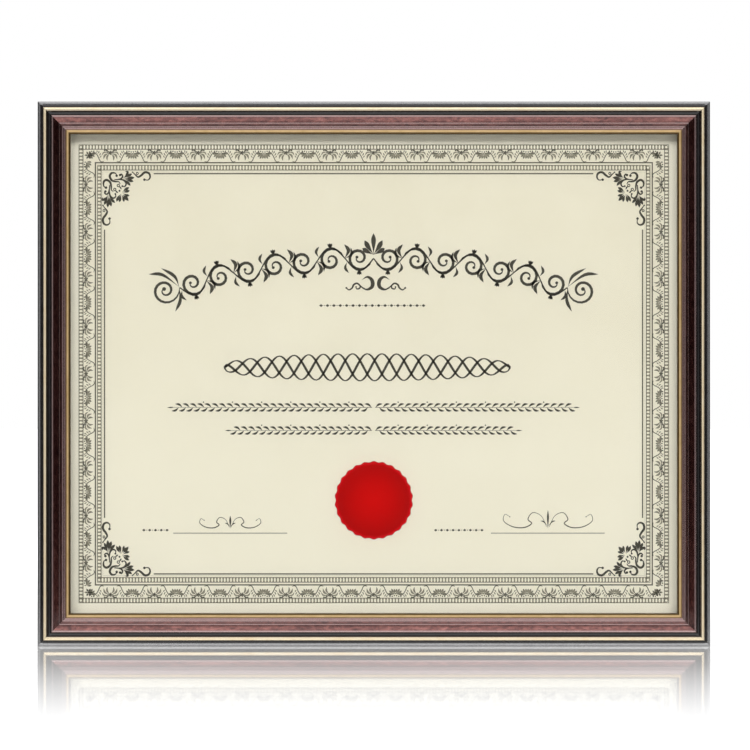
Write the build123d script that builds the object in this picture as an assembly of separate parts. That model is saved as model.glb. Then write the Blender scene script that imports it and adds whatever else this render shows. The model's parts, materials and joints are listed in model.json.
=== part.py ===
from build123d import *
import os
from collections import namedtuple
from math import asin, cos, degrees, pi, radians, sin

# Certificate frame, in millimetres. It stands on its lower edge, with its front towards -Y and +Z up.
# The origin is the middle of the lower edge's flat underside.
# Places on the moulding are u, inwards from the outer edge, and v, forwards from the back.

# The sheets that the frame takes, and how far the moulding reaches over them
insert_width = 254.0
insert_height = 203.2
insert_hold = 6.35
insert_clearance = 0.5

# The layers in the rabbet, from the front
glass_thickness = 2.0
seal_thickness = 0.3
certificate_thickness = 0.25
filler_thickness = 2.0
backing_thickness = 3.0

# The moulding: its width and the lip in front of the glass
rail_width = 13.0
sight_lip = 4.05

# The bands of its face, from the outer edge inwards: width, rise over the band, and bulge of its arc
edge_bead_width, edge_bead_rise, edge_bead_bulge = 1.35, 0.2, 0.5
cove_width, cove_rise, cove_sink = 0.75, 0.8, 0.2
gilt_bead_width, gilt_bead_rise, gilt_bead_bulge = 1.9, 0.1, 0.85
groove_width, groove_rise, groove_sink = 1.4, 0.1, 0.55
shoulder_width, shoulder_rise, shoulder_bulge = 0.8, 0.4, 0.2
field_fall, field_bulge = 1.2, 0.1
step_width, step_fall, step_bulge = 0.35, 0.4, 0.08
apron_width, apron_fall = 0.95, 0.35
fillet_width, fillet_fall, fillet_bulge = 0.55, 0.35, 0.15
hollow_width, hollow_fall, hollow_sink = 0.75, 0.1, 0.3
sight_bead_width, sight_bead_fall, sight_bead_bulge = 1.9, 0.6, 0.7

# V nails, one behind the other in each mitre
nails_per_corner = 2
nail_height = 5.0
nail_leg = 5.0
nail_thickness = 0.4
nail_sink = 0.3
nail_spacing = 5.6

# The seal: a wafer with a scalloped edge and a raised middle
seal_diameter = 31.3
seal_lobes = 26
seal_lobe_depth = 0.5
seal_middle_diameter = 29.0
seal_rim_thickness = 0.2
seal_rise = 51.2

# Turn buttons and their screws
button_width = 6.0
button_nose_width = 5.0
button_reach = 10.5
button_thickness = 0.9
button_spread = 70.0
screw_shank_radius = 1.4
screw_head_radius = 2.6
screw_head_height = 1.5
screw_head_rounding = 0.7
screw_grip = 8.0
screw_point = 1.6
screw_point_radius = 0.3
button_play = 0.1

# The easel's hinge, and the gap between it and the ring that hangs above it
hinge_gap = 2.25
hinge_width = 30.0
hinge_middle_knuckle = 14.0
leaf_length = 14.0
leaf_thickness = 0.8
leaf_corner = 2.0
pin_radius = 1.0
pin_play = 0.05
pin_head_radius = 1.5
pin_head_length = 0.5
knuckle_gap = 0.3
fold_gap = 0.3
open_angle = 30.0

# The easel's leg
leg_thickness = 3.0
leg_top_width = 38.0
leg_foot_width = 54.0
leg_foot_clearance = 3.0
leg_top_corner = 6.0
leg_foot_corner = 2.5
leg_foot_pad = 9.0
leg_arch_height = 5.0

# Rivets
rivet_head_radius = 2.0
rivet_head_height = 0.7
rivet_crown_radius = 0.6
rivet_shank_radius = 1.1
rivet_flare_radius = 1.7
rivet_flare_height = 0.5
rivet_inset = 4.5

# Hangers: a folded strap and a wire triangle
strap_width = 8.0
strap_length = 12.0
strap_thickness = 0.5
strap_corner = 2.0
strap_ramp = 4.2
wire_radius = 0.8
wire_play = 0.1
ring_base = 18.0
ring_height = 14.0
ring_corner = 2.0
ring_gap = 0.3
hanger_margin = 18.0
hanger_rivet_drop = 6.6

# Small fasteners and wire have flats for their round, and steps for their curves, to keep facets few
round_flats = 12
rounding_steps = 3
bend_steps = 4

# How far a cutting solid runs past what it cuts
overrun = 1.0


# Sizes that follow from those above
layers = [glass_thickness, seal_thickness, certificate_thickness, filler_thickness, backing_thickness]
rabbet_depth = sum(layers)
rabbet_width = insert_hold + insert_clearance
rabbet_wall = rail_width - rabbet_width
outer_width = insert_width + 2 * (rail_width - insert_hold)
outer_height = insert_height + 2 * (rail_width - insert_hold)
middle_height = outer_height / 2
insert_foot = middle_height - insert_height / 2

Band = namedtuple("Band", "width rise bulge")
outer_bands = [
    Band(edge_bead_width, edge_bead_rise, edge_bead_bulge),
    Band(cove_width, cove_rise, -cove_sink),
    Band(gilt_bead_width, gilt_bead_rise, gilt_bead_bulge),
    Band(groove_width, groove_rise, -groove_sink),
    Band(shoulder_width, shoulder_rise, shoulder_bulge),
]
inner_bands = [
    Band(step_width, -step_fall, step_bulge),
    Band(apron_width, -apron_fall, 0),
    Band(fillet_width, -fillet_fall, fillet_bulge),
    Band(hollow_width, -hollow_fall, -hollow_sink),
    Band(sight_bead_width, -sight_bead_fall, sight_bead_bulge),
]
field_width = rail_width - sum(band.width for band in outer_bands + inner_bands)
bands = outer_bands + [Band(field_width, -field_fall, field_bulge)] + inner_bands
wall_height = rabbet_depth + sight_lip - sum(band.rise for band in bands)

# The rails' back is as far behind the origin as the outer wall's front edge is before it
back = wall_height / 2


def solid_of(shape):
    """The one solid that a boolean left."""
    return shape.solids()[0]


def block(low, high):
    """A box between two corners."""
    size = [b - a for a, b in zip(low, high)]
    return Pos(*low) * Box(*size, align=(Align.MIN, Align.MIN, Align.MIN))


def rail_section():
    """The moulding's outline in u and v: wall, the bands of the face, lip, rabbet and back."""
    u, v = 0, wall_height
    with BuildSketch() as section:
        with BuildLine():
            Line((0, 0), (u, v))
            for band in bands:
                start, end = Vector(u, v), Vector(u + band.width, v + band.rise)
                if band.bulge:
                    across = (end - start).rotate(Axis.Z, 90).normalized()
                    ThreePointArc(start, (start + end) / 2 + across * band.bulge, end)
                else:
                    Line(start, end)
                u, v = end.X, end.Y
            Polyline((u, v), (u, rabbet_depth), (rabbet_wall, rabbet_depth), (rabbet_wall, 0), (0, 0))
        make_face()
    return section.sketch


def rail(middle, inwards, length):
    """One rail with its mitres, from the middle of its outer edge, the way inwards and its length."""
    forwards = Vector(0, -1, 0)
    along = Vector(*inwards).cross(forwards)
    section = Plane(middle, x_dir=inwards, z_dir=along) * rail_section()
    bar = extrude(section, amount=length / 2, both=True)
    deep = rail_width + overrun
    near, far = length / 2 + overrun, length / 2 - deep
    corners = [(-near, -overrun), (near, -overrun), (far, deep), (-far, deep)]
    outline = Plane(middle, x_dir=along, z_dir=forwards) * make_face(Polyline(*corners, close=True))
    mitres = extrude(outline, amount=wall_height + rail_width) + extrude(outline, amount=-overrun)
    return bar & mitres


def v_nail():
    """A V nail with its legs along +X and +Z and its height towards -Y."""
    half = nail_thickness / 2
    return block((-half, -nail_height, -half), (nail_leg, 0, half)) + block(
        (-half, -nail_height, -half), (half, 0, nail_leg)
    )


def corner_nails():
    """Every V nail, in the middle of the rabbet's wall at each corner."""
    nails = []
    inset = rabbet_wall / 2
    for turn, x, z in (
        (0, inset - outer_width / 2, inset),
        (-90, outer_width / 2 - inset, inset),
        (180, outer_width / 2 - inset, outer_height - inset),
        (90, inset - outer_width / 2, outer_height - inset),
    ):
        for row in range(nails_per_corner):
            y = back - nail_sink - row * nail_spacing
            nails.append(solid_of(Location((x, y, z), (0, turn, 0)) * v_nail()))
    return nails


def sheet(front, thickness):
    """A sheet of the insert's size whose front is front millimetres forward of the rails' back."""
    low = (-insert_width / 2, back - front, insert_foot)
    return block(low, (insert_width / 2, back - front + thickness, insert_foot + insert_height))


def seal_wafer():
    """The seal: arcs from notch to notch round its edge, and a raised disc inside them."""
    crest = seal_diameter / 2
    notch = crest - seal_lobe_depth
    pitch = 2 * pi / seal_lobes
    with BuildSketch() as outline:
        with BuildLine():
            for lobe in range(seal_lobes):
                angles = [(lobe + share) * pitch for share in (-1 / 2, 0, 1 / 2)]
                radii = (notch, crest, notch)
                ThreePointArc(*[(r * sin(a), r * cos(a)) for r, a in zip(radii, angles)])
        make_face()
    front = back - rabbet_depth + glass_thickness
    centre = (0, front + seal_thickness, insert_foot + seal_rise)
    face = Plane(centre, x_dir=(1, 0, 0), z_dir=(0, -1, 0))
    rim = extrude(face * outline.sketch, amount=seal_rim_thickness)
    return rim + extrude(face * Circle(seal_middle_diameter / 2), amount=seal_thickness)


def closed(faces):
    """The solid inside a closed set of flat faces."""
    return Solid(Shell(faces)).fix()


def flatted(sections):
    """A round solid on Y, drawn with flats, through radii at distances behind the rails' back."""
    turns = [2 * pi * flat / round_flats for flat in range(round_flats)]
    rings = [
        [Vector(radius * sin(turn), back + behind, radius * cos(turn)) for turn in turns]
        for radius, behind in sections
    ]
    outlines = [rings[0], rings[-1]]
    for near, far in zip(rings, rings[1:]):
        for flat in range(round_flats):
            outlines.append([near[flat - 1], near[flat], far[flat], far[flat - 1]])
    return closed([Face(Wire.make_polygon(outline)) for outline in outlines])


def rounded_edge(radius, across, base, rise):
    """Sections up a rounded edge, which comes in by across while it rises by rise over base."""
    angles = [step * pi / 2 / rounding_steps for step in range(rounding_steps + 1)]
    return [(radius - across * (1 - cos(a)), base + rise * sin(a)) for a in angles]


def turn_button(nose):
    """A button with its hole on Y and its nose towards nose, in degrees from +X towards +Z."""
    eye = Circle(button_width / 2)
    tip = Pos(button_reach, 0) * Circle(button_nose_width / 2)
    outline = make_hull(eye.edges() + tip.edges()) - Circle(screw_shank_radius + button_play)
    face = Plane((0, back + button_play, 0), x_dir=(1, 0, 0), z_dir=(0, 1, 0))
    plate = extrude(face * outline, amount=button_thickness)
    return solid_of(Rot(0, -nose, 0) * plate)


def button_screw():
    """A pan head screw on Y, driven through a button into the rail."""
    under = button_thickness + 2 * button_play
    shoulder = under + screw_head_height - screw_head_rounding
    crown = rounded_edge(screw_head_radius, screw_head_rounding, shoulder, screw_head_rounding)
    shank = [
        (screw_point_radius, -screw_grip),
        (screw_shank_radius, screw_point - screw_grip),
        (screw_shank_radius, under),
    ]
    return solid_of(flatted([(screw_head_radius, under)] + crown) + flatted(shank))


def rivet(head_at, tail_at):
    """A rivet on Y: its domed head stands behind head_at, and its tail is flared flush at tail_at."""
    rounding = rivet_head_radius - rivet_crown_radius
    dome = rounded_edge(rivet_head_radius, rounding, head_at, rivet_head_height)
    shank = [
        (rivet_flare_radius, tail_at),
        (rivet_shank_radius, tail_at + rivet_flare_height),
        (rivet_shank_radius, head_at),
    ]
    return solid_of(flatted(dome) + flatted(shank))


# How far a ring reaches from its strap's fold
ring_reach = ring_height + wire_radius

# The hinge's own sizes. Behind means behind the rails' back, where the backing board's face lies.
knuckle_bore = pin_radius + pin_play
knuckle_radius = knuckle_bore + leaf_thickness
axis_behind = fold_gap + knuckle_radius
plate_start = knuckle_radius + knuckle_gap
side_knuckle = (hinge_width - hinge_middle_knuckle) / 2 - knuckle_gap
leg_behind = fold_gap + leaf_thickness
hinge_height = insert_foot + insert_height - hanger_margin - 2 * ring_reach - hinge_gap - leaf_length
stop_reach = axis_behind - leaf_thickness - fold_gap
stop_height = (knuckle_bore * cos(radians(open_angle)) + stop_reach) / sin(radians(open_angle))


def knuckle(middle, width):
    """A stretch of the hinge's barrel, without its bore."""
    place = Pos(middle, back + axis_behind, hinge_height) * Rot(0, 90, 0)
    return place * Cylinder(knuckle_radius, width)


def hinge_bore(radius, length):
    """A round bar on the hinge's axis."""
    return Pos(0, back + axis_behind, hinge_height) * Rot(0, 90, 0) * Cylinder(radius, length)


def leaf_plate(near, far, behind):
    """A leaf's flat plate between two heights over the axis, with its far corners rounded."""
    low, high = sorted((near, far))
    plate = block(
        (-hinge_width / 2, back + behind, hinge_height + low),
        (hinge_width / 2, back + behind + leaf_thickness, hinge_height + high),
    )
    ends = plate.edges().filter_by(Axis.Y).sort_by(Axis.Z)
    return fillet(ends[-2:] if far > near else ends[:2], leaf_corner)


def hinge_board_leaf():
    """The leaf on the board: a plate above the axis and a knuckle at each end of the barrel."""
    leaf = leaf_plate(plate_start, leaf_length, 0)
    middle = (hinge_middle_knuckle + side_knuckle) / 2 + knuckle_gap
    for side in (-1, 1):
        x = side * middle
        neck = block(
            (x - side_knuckle / 2, back, hinge_height),
            (x + side_knuckle / 2, back + leaf_thickness, hinge_height + plate_start),
        )
        leaf += neck + knuckle(x, side_knuckle)
    return leaf - hinge_bore(knuckle_bore, hinge_width + overrun)


def hinge_leg_leaf():
    """The leaf on the leg: a plate below the axis, the middle knuckle and the leg's stop."""
    half = hinge_middle_knuckle / 2
    neck = block(
        (-half, back + fold_gap, hinge_height - plate_start),
        (half, back + leg_behind, hinge_height),
    )
    tail = block(
        (-half, back + axis_behind + knuckle_bore, hinge_height),
        (half, back + axis_behind + knuckle_radius, hinge_height + stop_height),
    )
    leaf = leaf_plate(-plate_start, -leaf_length, fold_gap)
    leaf += neck + knuckle(0, hinge_middle_knuckle) + tail
    return leaf - hinge_bore(knuckle_bore, hinge_width + overrun)


def hinge_pin():
    """The pin, peened over at both ends."""
    reach = hinge_width / 2 + pin_head_length / 2
    pin = hinge_bore(pin_radius, hinge_width)
    for side in (-1, 1):
        pin += Pos(side * reach, 0, 0) * hinge_bore(pin_head_radius, pin_head_length)
    return solid_of(pin)


def easel_leg():
    """The leg: a board that widens to its foot, with rounded corners and an arch between two pads."""
    top = hinge_height - plate_start
    foot = leg_foot_clearance
    across_top, across_foot = leg_top_width / 2, leg_foot_width / 2
    arch = across_foot - leg_foot_pad
    with BuildSketch() as outline:
        with BuildLine():
            Polyline((arch, foot), (across_foot, foot), (across_top, top), (-across_top, top))
            Polyline((-across_top, top), (-across_foot, foot), (-arch, foot))
            ThreePointArc((-arch, foot), (0, foot + leg_arch_height), (arch, foot))
        make_face()
        corners = outline.vertices().sort_by(Axis.Y)
        fillet(corners[-2:], leg_top_corner)
        low = [v for v in outline.vertices() if v.Y < middle_height / 2]
        fillet([v for v in low if abs(v.X) > arch + leg_foot_corner], leg_foot_corner)
    face = Plane((0, back + leg_behind, 0), x_dir=(1, 0, 0), z_dir=(0, -1, 0))
    return extrude(face * outline.sketch, amount=-leg_thickness)


# The hangers' own sizes. A hanger is made on its axis, with +Z the way it pulls in use.
loop_radius = wire_radius + wire_play + strap_thickness
folded_strap = 2 * strap_thickness
crossing = ring_height * (1 - strap_width / ring_base)
ring_tilt = degrees(asin((folded_strap + wire_radius + ring_gap - loop_radius) / crossing))
hanger_reach = hanger_margin + ring_reach


def hanger_strap():
    """A strap folded round the wire: two layers pressed flat beyond a ramp down from the loop."""
    loop = Pos(0, loop_radius) * Circle(loop_radius)
    pinch = Pos(-strap_ramp, strap_thickness) * Rectangle(strap_thickness, folded_strap)
    tongue = Pos(-(strap_length + strap_ramp) / 2, strap_thickness)
    tongue *= Rectangle(strap_length - strap_ramp, folded_strap)
    side = make_hull(loop.edges() + pinch.edges()) + tongue
    side -= Pos(0, loop_radius) * Circle(wire_radius + wire_play)
    plane = Plane((0, 0, 0), x_dir=(0, 0, 1), z_dir=(-1, 0, 0))
    strap = extrude(plane * side, amount=strap_width / 2, both=True)
    return fillet(strap.edges().filter_by(Axis.Y).sort_by(Axis.Z)[:2], strap_corner)


def hanger_ring():
    """A wire triangle, folded down over its strap. Its bends are drawn in short straight steps."""
    tilt = radians(ring_tilt)
    plane = Plane((0, loop_radius, 0), x_dir=(1, 0, 0), z_dir=(0, cos(tilt), sin(tilt)))
    corners = [(-ring_base / 2, 0), (ring_base / 2, 0), (0, ring_height)]
    runs = (plane * FilletPolyline(*corners, radius=ring_corner, close=True)).edges()
    points = [(runs[0] @ 0 + runs[0] @ 1) / 2]
    for run in runs:
        steps = bend_steps if run.geom_type == GeomType.CIRCLE else 1
        points += [run @ ((step + 1) / steps) for step in range(steps)]
    path = Polyline(*points, close=True)
    section = Plane(points[0], z_dir=path % 0) * RegularPolygon(wire_radius, round_flats)
    return closed(sweep(section, path=path, transition=Transition.RIGHT).faces())


top_hanger = Location((0, back, insert_foot + insert_height - hanger_reach))
side_hanger = Location((hanger_reach - insert_width / 2, back, middle_height), (0, -90, 0))
hanger_places = {"top": top_hanger, "side": side_hanger}

# Where each turn button's screw stands, and which way its nose points
across = outer_width / 2 - rabbet_wall / 2
low, high = rabbet_wall / 2, outer_height - rabbet_wall / 2
button_places = {
    "top_left": (-button_spread, high, -90),
    "top_right": (button_spread, high, -90),
    "bottom_left": (-button_spread, low, 90),
    "bottom_right": (button_spread, low, 90),
    "left": (-across, middle_height, 0),
    "right": (across, middle_height, 180),
}

# Where the leaves' rivets stand
rivet_across = hinge_width / 2 - rivet_inset
board_rivet_height = hinge_height + leaf_length - rivet_inset
leg_rivet_height = hinge_height - leaf_length + rivet_inset


def make_parts():
    """Every node by name: a solid, or a list of like fasteners."""
    nails = corner_nails()
    screws = [Pos(x, 0, z) * button_screw() for x, z, nose in button_places.values()]
    board_rivets = [
        Pos(side * rivet_across, 0, board_rivet_height) * rivet(leaf_thickness, -backing_thickness)
        for side in (-1, 1)
    ]
    leg_rivets = [
        Pos(side * rivet_across, 0, leg_rivet_height) * rivet(leg_behind + leg_thickness, fold_gap)
        for side in (-1, 1)
    ]
    loose_rivet = Pos(0, -back, -hanger_rivet_drop) * rivet(folded_strap, -backing_thickness)
    hanger_rivets = [place * loose_rivet for place in hanger_places.values()]

    parts = {}
    rails = {
        "rail_top": ((0, back, outer_height), (0, 0, -1), outer_width),
        "rail_bottom": ((0, back, 0), (0, 0, 1), outer_width),
        "rail_left": ((-outer_width / 2, back, middle_height), (1, 0, 0), outer_height),
        "rail_right": ((outer_width / 2, back, middle_height), (-1, 0, 0), outer_height),
    }
    for name, (middle, inwards, length) in rails.items():
        parts[name] = rail(middle, inwards, length) - nails - screws
    parts["corner_v_nails"] = nails

    front = rabbet_depth
    parts["glass"] = sheet(front, glass_thickness)
    parts["seal"] = seal_wafer()
    front -= glass_thickness + seal_thickness
    parts["certificate"] = sheet(front, certificate_thickness)
    front -= certificate_thickness
    parts["filler_board"] = sheet(front, filler_thickness)
    parts["backing_board"] = sheet(backing_thickness, backing_thickness) - board_rivets - hanger_rivets

    for name, (x, z, nose) in button_places.items():
        parts[f"turn_button_{name}"] = Pos(x, 0, z) * turn_button(nose)
    parts["turn_button_screws"] = screws

    parts["easel_leg"] = easel_leg() - leg_rivets
    parts["hinge_board_leaf"] = hinge_board_leaf() - board_rivets
    parts["hinge_leg_leaf"] = hinge_leg_leaf() - leg_rivets
    parts["hinge_pin"] = hinge_pin()
    parts["hinge_board_rivets"] = board_rivets
    parts["hinge_leg_rivets"] = leg_rivets

    for name, place in hanger_places.items():
        parts[f"hanger_strap_{name}"] = (place * hanger_strap()) - hanger_rivets
        parts[f"hanger_ring_{name}"] = place * hanger_ring()
    parts["hanger_rivets"] = hanger_rivets
    return parts


def report(name, place):
    """Print a place that the joints and mounts are stated at."""
    print(f"{name}: " + ", ".join(f"{value:.4f}" for value in place))


os.makedirs("parts", exist_ok=True)
for name, shape in make_parts().items():
    if isinstance(shape, list):
        shape = Compound(children=shape)
    export_step(shape, f"parts/{name}.step")

report("outside width, height and depth", (outer_width, outer_height, wall_height))
report("easel hinge", (0, back + axis_behind, hinge_height))
for name, (x, z, nose) in button_places.items():
    report(f"turn button {name}", (x, back, z))
for name, place in hanger_places.items():
    report(f"hanger axis {name}", (place * Pos(0, loop_radius, 0)).position)
report("ring tilt at rest", (ring_tilt,))
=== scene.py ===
import cmath
import json
from collections import namedtuple
from math import asin, cos, pi, radians, sin, tau

import bmesh
import bpy
from mathutils import Matrix, Vector


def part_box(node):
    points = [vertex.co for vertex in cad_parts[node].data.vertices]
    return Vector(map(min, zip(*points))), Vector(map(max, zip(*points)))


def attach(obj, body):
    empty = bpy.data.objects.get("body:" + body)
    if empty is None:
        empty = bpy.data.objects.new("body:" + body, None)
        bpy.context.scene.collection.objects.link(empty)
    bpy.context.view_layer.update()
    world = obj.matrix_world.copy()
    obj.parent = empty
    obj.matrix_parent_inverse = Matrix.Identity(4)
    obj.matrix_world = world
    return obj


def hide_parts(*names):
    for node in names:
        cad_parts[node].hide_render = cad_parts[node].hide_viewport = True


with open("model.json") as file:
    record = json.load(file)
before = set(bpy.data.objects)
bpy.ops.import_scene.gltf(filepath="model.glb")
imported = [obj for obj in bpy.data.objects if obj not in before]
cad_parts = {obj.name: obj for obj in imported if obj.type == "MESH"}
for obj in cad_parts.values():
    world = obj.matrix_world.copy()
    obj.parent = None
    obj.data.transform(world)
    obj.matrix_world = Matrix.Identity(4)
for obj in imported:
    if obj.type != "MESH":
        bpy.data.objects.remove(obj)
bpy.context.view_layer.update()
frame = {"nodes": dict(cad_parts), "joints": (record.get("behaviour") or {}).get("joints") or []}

# The looks of a certificate frame. Sizes are in millimetres and turn into metres where a piece is made.
# The front is towards -Y, and the rails' back, the backing board's face, is the plane y = back.
mm = 0.001
white = (1.0, 1.0, 1.0)
scene = bpy.context.scene


def box(node):
    """A node's lowest and highest corner, in millimetres."""
    return [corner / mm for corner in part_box(node)]


# Places that the frame gives
half_width = box("rail_top")[1].x
height = box("rail_top")[1].z
middle = height / 2
back = box("rail_top")[1].y
rail_width = box("rail_left")[1].x - box("rail_left")[0].x
paper_front = box("certificate")[0].y
rabbet_depth = back - box("glass")[0].y
sheet_clearance = 0.5
rabbet_wall = half_width - box("certificate")[1].x - sheet_clearance
joint_at = {joint["child"]: Vector(joint["pos_m"]) / mm for joint in frame["joints"]}


# Shapes

class Shape:
    """The points and faces of one piece in millimetres. Each face has the number of its finish."""

    def __init__(self):
        self.points, self.faces, self.finishes = [], [], []

    def loft(self, rings, looped=False, finishes=None, place=Matrix()):
        """A skin over rings of like points. It has flat ends, unless it is looped back to its start."""
        count, size, start = len(rings), len(rings[0]), len(self.points)
        finishes = finishes or [0] * size
        faces = []
        for ring in range(count if looped else count - 1):
            near, far = ring * size, (ring + 1) % count * size
            for side in range(size):
                after = (side + 1) % size
                faces.append([near + side, near + after, far + after, far + side])
                self.finishes.append(finishes[side])
        if not looped:
            faces += [list(range(size))[::-1], list(range((count - 1) * size, count * size))]
            self.finishes += [finishes[-1]] * 2
        self.faces += [[start + corner for corner in face] for face in faces]
        self.points += [place @ Vector(point) for ring in rings for point in ring]

    def mesh(self, name):
        mesh = bpy.data.meshes.new(name)
        mesh.from_pydata([point * mm for point in self.points], [], self.faces)
        mesh.polygons.foreach_set("material_index", self.finishes)
        work = bmesh.new()
        work.from_mesh(mesh)
        bmesh.ops.recalc_face_normals(work, faces=work.faces)
        work.to_mesh(mesh)
        work.free()
        return mesh


def made(name, mesh, finishes, body, replaces=(), crease=32):
    """A piece from a mesh, smooth but for edges sharper than crease, riding on a body."""
    piece = bpy.data.objects.new(name, mesh)
    scene.collection.objects.link(piece)
    for finish in finishes:
        mesh.materials.append(finish.material)
    mesh.polygons.foreach_set("use_smooth", [True] * len(mesh.polygons))
    mesh.set_sharp_from_angle(angle=radians(crease))
    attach(piece, body)
    if replaces:
        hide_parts(*replaces)
    return piece


def attribute(piece, name, values):
    """A number for each point of a piece, which its finish reads."""
    piece.data.attributes.new(name, "FLOAT", "POINT").data.foreach_set("value", values)


# The corners of a square, in their order round it
square = ((-1, -1), (1, -1), (1, 1), (-1, 1))


def circle(radius, count, centre=0j):
    """Points round a circle, as complex numbers."""
    return [centre + cmath.rect(radius, tau * turn / count) for turn in range(count)]


def turned(shape, profile, place, count=40):
    """A round solid on Y: radii at distances along it."""
    rings = [[Vector((p.real, y, p.imag)) for p in circle(radius, count)] for radius, y in profile]
    shape.loft(rings, place=place)


def less(shape, cutters):
    """What is left of a shape when the cutters are taken out of it, as a mesh."""
    subject = bpy.data.objects.new("subject", shape.mesh("subject"))
    scene.collection.objects.link(subject)
    helpers = [subject]
    for cutter in cutters:
        tool = bpy.data.objects.new("tool", cutter.mesh("tool"))
        scene.collection.objects.link(tool)
        helpers.append(tool)
        change = subject.modifiers.new("cut", "BOOLEAN")
        change.operation, change.solver, change.object = "DIFFERENCE", "EXACT", tool
    bpy.context.view_layer.update()
    result = bpy.data.meshes.new_from_object(subject.evaluated_get(bpy.context.evaluated_depsgraph_get()))
    for helper in helpers:
        bpy.data.objects.remove(helper)
    result.materials.clear()
    return result


# Finishes

class Value:
    """A socket that can stand in sums. Each sum adds a Math node."""

    def __init__(self, nodes, socket):
        self.nodes, self.socket = nodes, socket

    def math(self, operation, *values):
        return self.nodes.node("ShaderNodeMath", {"operation": operation}, dict(enumerate(values)))

    def __add__(self, other):
        return self.math("ADD", self, other)

    def __sub__(self, other):
        return self.math("SUBTRACT", self, other)

    def __rsub__(self, other):
        return self.math("SUBTRACT", other, self)

    def __mul__(self, other):
        return self.math("MULTIPLY", self, other)

    def __truediv__(self, other):
        return self.math("DIVIDE", self, other)

    def __pow__(self, other):
        return self.math("POWER", self, other)

    __radd__, __rmul__ = __add__, __mul__

    def size(self):
        """The value without its sign."""
        return self.math("ABSOLUTE", self)

    def larger(self, other):
        """The larger of two values."""
        return self.math("MAXIMUM", self, other)

    def within(self, low, high):
        """0 up to low, 1 from high, and a smooth rise between them. High may be the lower of the two."""
        sockets = {"Value": self, "From Min": low, "From Max": high}
        return self.nodes.node("ShaderNodeMapRange", {"interpolation_type": "SMOOTHSTEP"}, sockets)


class Nodes:
    """Adds nodes to a tree: settings first, then the values or links of their sockets."""

    def __init__(self, tree):
        self.tree = tree

    def node(self, kind, settings=None, sockets=None, output=0):
        node = self.tree.nodes.new(kind)
        for name, value in (settings or {}).items():
            setattr(node, name, value)
        for name, value in (sockets or {}).items():
            self.feed(node.inputs[name], value)
        return Value(self, node.outputs[output])

    def parts(self, vector):
        """The three parts of a vector."""
        found = self.node("ShaderNodeSeparateXYZ", None, {0: vector}).socket.node.outputs
        return [Value(self, part) for part in found]

    def rays(self, *kinds):
        """For each kind of ray, 1 where the surface is met by it."""
        found = self.node("ShaderNodeLightPath").socket.node.outputs
        return [Value(self, found[f"Is {kind} Ray"]) for kind in kinds]

    def feed(self, socket, value):
        if isinstance(value, Value):
            self.tree.links.new(value.socket, socket)
        elif socket.type == "RGBA":
            socket.default_value = (*value, 1.0)
        else:
            socket.default_value = value


class Finish(Nodes):
    """A material on a Principled shader. Places are in millimetres, in the piece's own space."""

    def __init__(self, name, constants=None):
        self.material = bpy.data.materials.new(name)
        self.material.use_nodes = True
        super().__init__(self.material.node_tree)
        self.shader = self.tree.nodes["Principled BSDF"]
        place = self.node("ShaderNodeTexCoord", output="Object")
        self.place = self.node("ShaderNodeVectorMath", {"operation": "SCALE"}, {0: place, "Scale": 1 / mm})
        for socket, value in (constants or {}).items():
            self.set(socket, value)

    def set(self, socket, value):
        self.feed(self.shader.inputs[socket], value)

    def stretched(self, across, along, axis):
        """Places for a texture with that many turns a millimetre across the axis and along it."""
        scale = [along if i == axis else across for i in range(3)]
        return self.node("ShaderNodeMapping", None, {"Vector": self.place, "Scale": scale})

    def noise(self, scale, detail=3, roughness=0.55, distortion=0.0, place=None):
        """Cloudy noise with a number of turns a millimetre."""
        sockets = {"Vector": place or self.place, "Scale": scale, "Detail": detail}
        sockets |= {"Roughness": roughness, "Distortion": distortion}
        return self.node("ShaderNodeTexNoise", None, sockets)

    def cells(self, scale, place=None):
        """Round cells that run softly into one another."""
        sockets = {"Vector": place or self.place, "Scale": scale}
        return self.node("ShaderNodeTexVoronoi", {"feature": "SMOOTH_F1"}, sockets)

    def ramp(self, value, *stops):
        """A colour that runs through stops, each a place and a colour."""
        found = self.node("ShaderNodeValToRGB", None, {"Fac": value})
        elements = found.socket.node.color_ramp.elements
        while len(elements) < len(stops):
            elements.new(0.5)
        for element, (place, colour) in zip(elements, stops):
            element.position, element.color = place, (*colour, 1.0)
        return found

    def mix(self, share, first, second):
        """A colour mix. The sockets' numbers are those of the node's colour inputs and output."""
        return self.node("ShaderNodeMix", {"data_type": "RGBA"}, {0: share, 6: first, 7: second}, output=2)

    def read(self, name):
        """A number that the piece carries for each point."""
        return self.node("ShaderNodeAttribute", {"attribute_name": name}, output="Fac")

    def bump(self, height, depth, strength=1.0):
        """Relief from a height of 0 to 1, depth millimetres deep."""
        sockets = {"Height": height, "Distance": depth * mm, "Strength": strength}
        self.set("Normal", self.node("ShaderNodeBump", None, sockets))


def lacquer():
    """Black lacquer, buffed, with a faint ripple and a little haze."""
    finish = Finish("black_lacquer", {"Coat Weight": 0.6, "Coat Roughness": 0.03, "IOR": 1.5})
    haze = finish.noise(0.35, detail=5)
    finish.set("Base Color", finish.ramp(haze, (0.3, (0.006, 0.005, 0.005)), (0.8, (0.014, 0.011, 0.012))))
    finish.set("Roughness", 0.1 + haze * 0.1)
    finish.bump(finish.noise(1.1, detail=2), 0.006)
    return finish


def lustre(name, bright, dull, metallic, roughness):
    """A metallic lustre under lacquer, cloudy, with fine rubbing marks."""
    finish = Finish(name, {"Coat Weight": 0.2, "Coat Roughness": 0.04})
    clouds = finish.noise(0.3, detail=5, roughness=0.6)
    rubbing = finish.noise(2.4, detail=4, roughness=0.7)
    finish.set("Base Color", finish.mix(clouds * 0.7 + rubbing * 0.3, dull, bright))
    finish.set("Metallic", metallic - rubbing * 0.1)
    finish.set("Roughness", roughness + clouds * 0.08 + rubbing * 0.06)
    finish.bump(rubbing, 0.005)
    return finish


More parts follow.
